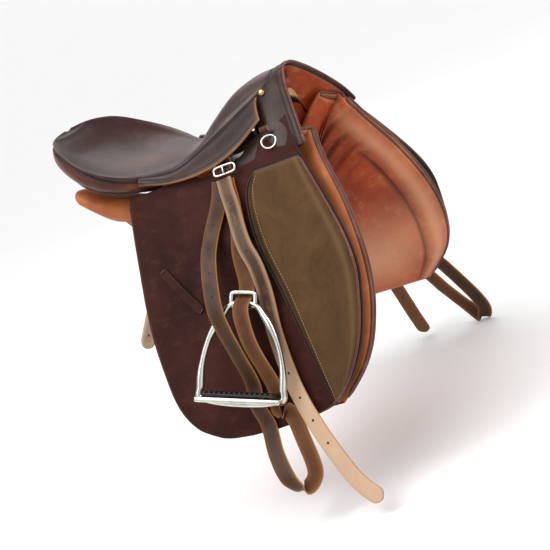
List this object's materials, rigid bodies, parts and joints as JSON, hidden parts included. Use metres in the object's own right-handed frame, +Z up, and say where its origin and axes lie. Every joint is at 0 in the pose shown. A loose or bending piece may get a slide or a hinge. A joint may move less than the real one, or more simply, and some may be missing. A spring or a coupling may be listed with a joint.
{
  "type": "english saddle",
  "caption": "English jumping saddle with suede knee pads, stirrup leathers, bright irons and billets, posed as it stands on a horse.",
  "frame": {"origin": "on the centreline under the lowest point of the seat, 120 mm below its surface, where the channel lies over the horse's spine", "axes": "+X forward to the pommel, +Y to the horse's left, +Z up with the seat level"},
  "size_m": [0.4823, 0.6975, 0.6222],
  "materials": {
    "seat_leather": "worn glossy, with a greyish sheen in the dish of the seat",
    "skirt_leather": "satin, with tan cut edges",
    "flap_leather": "satin, fine grain",
    "suede": "matt nap, double stitched",
    "panel_leather": "soft satin, wrinkled",
    "sweat_leather": "satin, with a paler lined edge",
    "strap_leather": "satin, golden cut edges",
    "girth_leather": "matt",
    "foam": "open-cell foam, hidden",
    "webbing": "woven linen web",
    "tree_wood": "lacquered laminate, hidden",
    "tree_steel": "japanned sheet steel, hidden",
    "bar_steel": "forged, satin",
    "bright_steel": "polished, slightly worn",
    "brass": "polished dome",
    "rubber": "ribbed, matt"
  },
  "bodies": {
    "root": {"seat_cover": "seat_leather", "seat_foam": "foam", "seat_webbing": "webbing", "cantle_board": "tree_wood", "cantle_roll": "seat_leather", "head_arch": "tree_wood", "head_plate": "tree_steel", "gullet_plate": "tree_steel", "gullet_lining": "panel_leather", "pommel_binding": "skirt_leather", "tree_rail_left": "tree_steel", "flap_head_left": "flap_leather", "sweat_flap_left": "sweat_leather", "panel_left": "panel_leather", "stirrup_bar_left": "bar_steel", "dee_staple_left": "strap_leather", "seat_stud_left": "brass", "girth_web_left": "webbing", "leather_top_left": "strap_leather", "leather_buckle_left": "bright_steel", "tree_rail_right": "tree_steel", "flap_head_right": "flap_leather", "sweat_flap_right": "sweat_leather", "panel_right": "panel_leather", "stirrup_bar_right": "bar_steel", "dee_staple_right": "strap_leather", "seat_stud_right": "brass", "girth_web_right": "webbing", "leather_top_right": "strap_leather", "leather_buckle_right": "bright_steel"},
    "flap_body_left": {"flap_left": "flap_leather", "knee_pad_left": "suede", "flap_keeper_left": "flap_leather"},
    "skirt_body_left": {"skirt_left": "skirt_leather"},
    "catch_body_left": {"bar_catch_left": "bar_steel"},
    "dee_body_left": {"dee_ring_left": "bright_steel"},
    "tongue_body_left": {"buckle_tongue_left": "bright_steel"},
    "girth_front_body_left": {"girth_strap_front_left": "girth_leather"},
    "girth_middle_body_left": {"girth_strap_middle_left": "girth_leather"},
    "girth_rear_body_left": {"girth_strap_rear_left": "girth_leather"},
    "leather_body_left": {"stirrup_leather_left": "strap_leather", "leather_tail_left": "strap_leather"},
    "iron_body_left": {"stirrup_iron_left": "bright_steel", "tread_rubber_left": "rubber"},
    "flap_body_right": {"flap_right": "flap_leather", "knee_pad_right": "suede", "flap_keeper_right": "flap_leather"},
    "skirt_body_right": {"skirt_right": "skirt_leather"},
    "catch_body_right": {"bar_catch_right": "bar_steel"},
    "dee_body_right": {"dee_ring_right": "bright_steel"},
    "tongue_body_right": {"buckle_tongue_right": "bright_steel"},
    "girth_front_body_right": {"girth_strap_front_right": "girth_leather"},
    "girth_middle_body_right": {"girth_strap_middle_right": "girth_leather"},
    "girth_rear_body_right": {"girth_strap_rear_right": "girth_leather"},
    "leather_body_right": {"stirrup_leather_right": "strap_leather", "leather_tail_right": "strap_leather"},
    "iron_body_right": {"stirrup_iron_right": "bright_steel", "tread_rubber_right": "rubber"}
  },
  "joints": [
    {"name": "flap_lift_left", "type": "hinge", "parent": "root", "child": "flap_body_left", "pos_m": [0, 0.1255, 0.084], "axis": [1, 0, 0], "range_deg": [0, 45]},
    {"name": "leather_swing_left", "type": "hinge", "parent": "flap_body_left", "child": "leather_body_left", "pos_m": [0, 0.1255, 0.084], "axis": [1, 0, 0], "range_deg": [0, 20]},
    {"name": "iron_swing_left", "type": "hinge", "parent": "leather_body_left", "child": "iron_body_left", "pos_m": [0.1258, 0.2328, -0.07509], "axis": [0.9874, -0.0355, -0.1542], "range_deg": [0, 5]},
    {"name": "skirt_lift_left", "type": "hinge", "parent": "root", "child": "skirt_body_left", "pos_m": [-0.06, 0.114, 0.123], "axis": [0.9561, -0.2459, 0.1594], "range_deg": [0, 50]},
    {"name": "bar_catch_turn_left", "type": "hinge", "parent": "root", "child": "catch_body_left", "pos_m": [0.071, 0.112, 0.101], "axis": [0, 1, 0], "range_deg": [0, 80]},
    {"name": "dee_swing_left", "type": "hinge", "parent": "root", "child": "dee_body_left", "pos_m": [0.176, 0.1136, 0.118], "axis": [0.9594, -0.2822, 0], "range_deg": [0, 60]},
    {"name": "buckle_tongue_turn_left", "type": "hinge", "parent": "root", "child": "tongue_body_left", "pos_m": [0.1, 0.13883, 0.08753], "axis": [-1, 0, 0], "range_deg": [0, 50]},
    {"name": "girth_front_swing_left", "type": "hinge", "parent": "root", "child": "girth_front_body_left", "pos_m": [0.034, 0.1273, 0.052], "axis": [0, 0.8984, 0.4392], "range_deg": [-5, 5]},
    {"name": "girth_middle_swing_left", "type": "hinge", "parent": "root", "child": "girth_middle_body_left", "pos_m": [0.004, 0.1273, 0.052], "axis": [0, 0.8984, 0.4392], "range_deg": [-5, 5]},
    {"name": "girth_rear_swing_left", "type": "hinge", "parent": "root", "child": "girth_rear_body_left", "pos_m": [-0.034, 0.1273, 0.052], "axis": [0, 0.8984, 0.4392], "range_deg": [-5, 5]},
    {"name": "flap_lift_right", "type": "hinge", "parent": "root", "child": "flap_body_right", "pos_m": [0, -0.1255, 0.084], "axis": [-1, 0, 0], "range_deg": [0, 45]},
    {"name": "leather_swing_right", "type": "hinge", "parent": "flap_body_right", "child": "leather_body_right", "pos_m": [0, -0.1255, 0.084], "axis": [-1, 0, 0], "range_deg": [0, 20]},
    {"name": "iron_swing_right", "type": "hinge", "parent": "leather_body_right", "child": "iron_body_right", "pos_m": [0.09466, -0.23359, -0.07672], "axis": [-0.9584, 0.028, 0.2841], "range_deg": [0, 5]},
    {"name": "skirt_lift_right", "type": "hinge", "parent": "root", "child": "skirt_body_right", "pos_m": [-0.06, -0.114, 0.123], "axis": [-0.9561, -0.2459, -0.1594], "range_deg": [0, 50]},
    {"name": "bar_catch_turn_right", "type": "hinge", "parent": "root", "child": "catch_body_right", "pos_m": [0.071, -0.112, 0.101], "axis": [0, 1, 0], "range_deg": [0, 80]},
    {"name": "dee_swing_right", "type": "hinge", "parent": "root", "child": "dee_body_right", "pos_m": [0.176, -0.1136, 0.118], "axis": [-0.9594, -0.2822, 0], "range_deg": [0, 60]},
    {"name": "buckle_tongue_turn_right", "type": "hinge", "parent": "root", "child": "tongue_body_right", "pos_m": [0.1, -0.13883, 0.08753], "axis": [1, 0, 0], "range_deg": [0, 50]},
    {"name": "girth_front_swing_right", "type": "hinge", "parent": "root", "child": "girth_front_body_right", "pos_m": [0.034, -0.1273, 0.052], "axis": [0, 0.8984, -0.4392], "range_deg": [-5, 5]},
    {"name": "girth_middle_swing_right", "type": "hinge", "parent": "root", "child": "girth_middle_body_right", "pos_m": [0.004, -0.1273, 0.052], "axis": [0, 0.8984, -0.4392], "range_deg": [-5, 5]},
    {"name": "girth_rear_swing_right", "type": "hinge", "parent": "root", "child": "girth_rear_body_right", "pos_m": [-0.034, -0.1273, 0.052], "axis": [0, 0.8984, -0.4392], "range_deg": [-5, 5]}
  ]
}
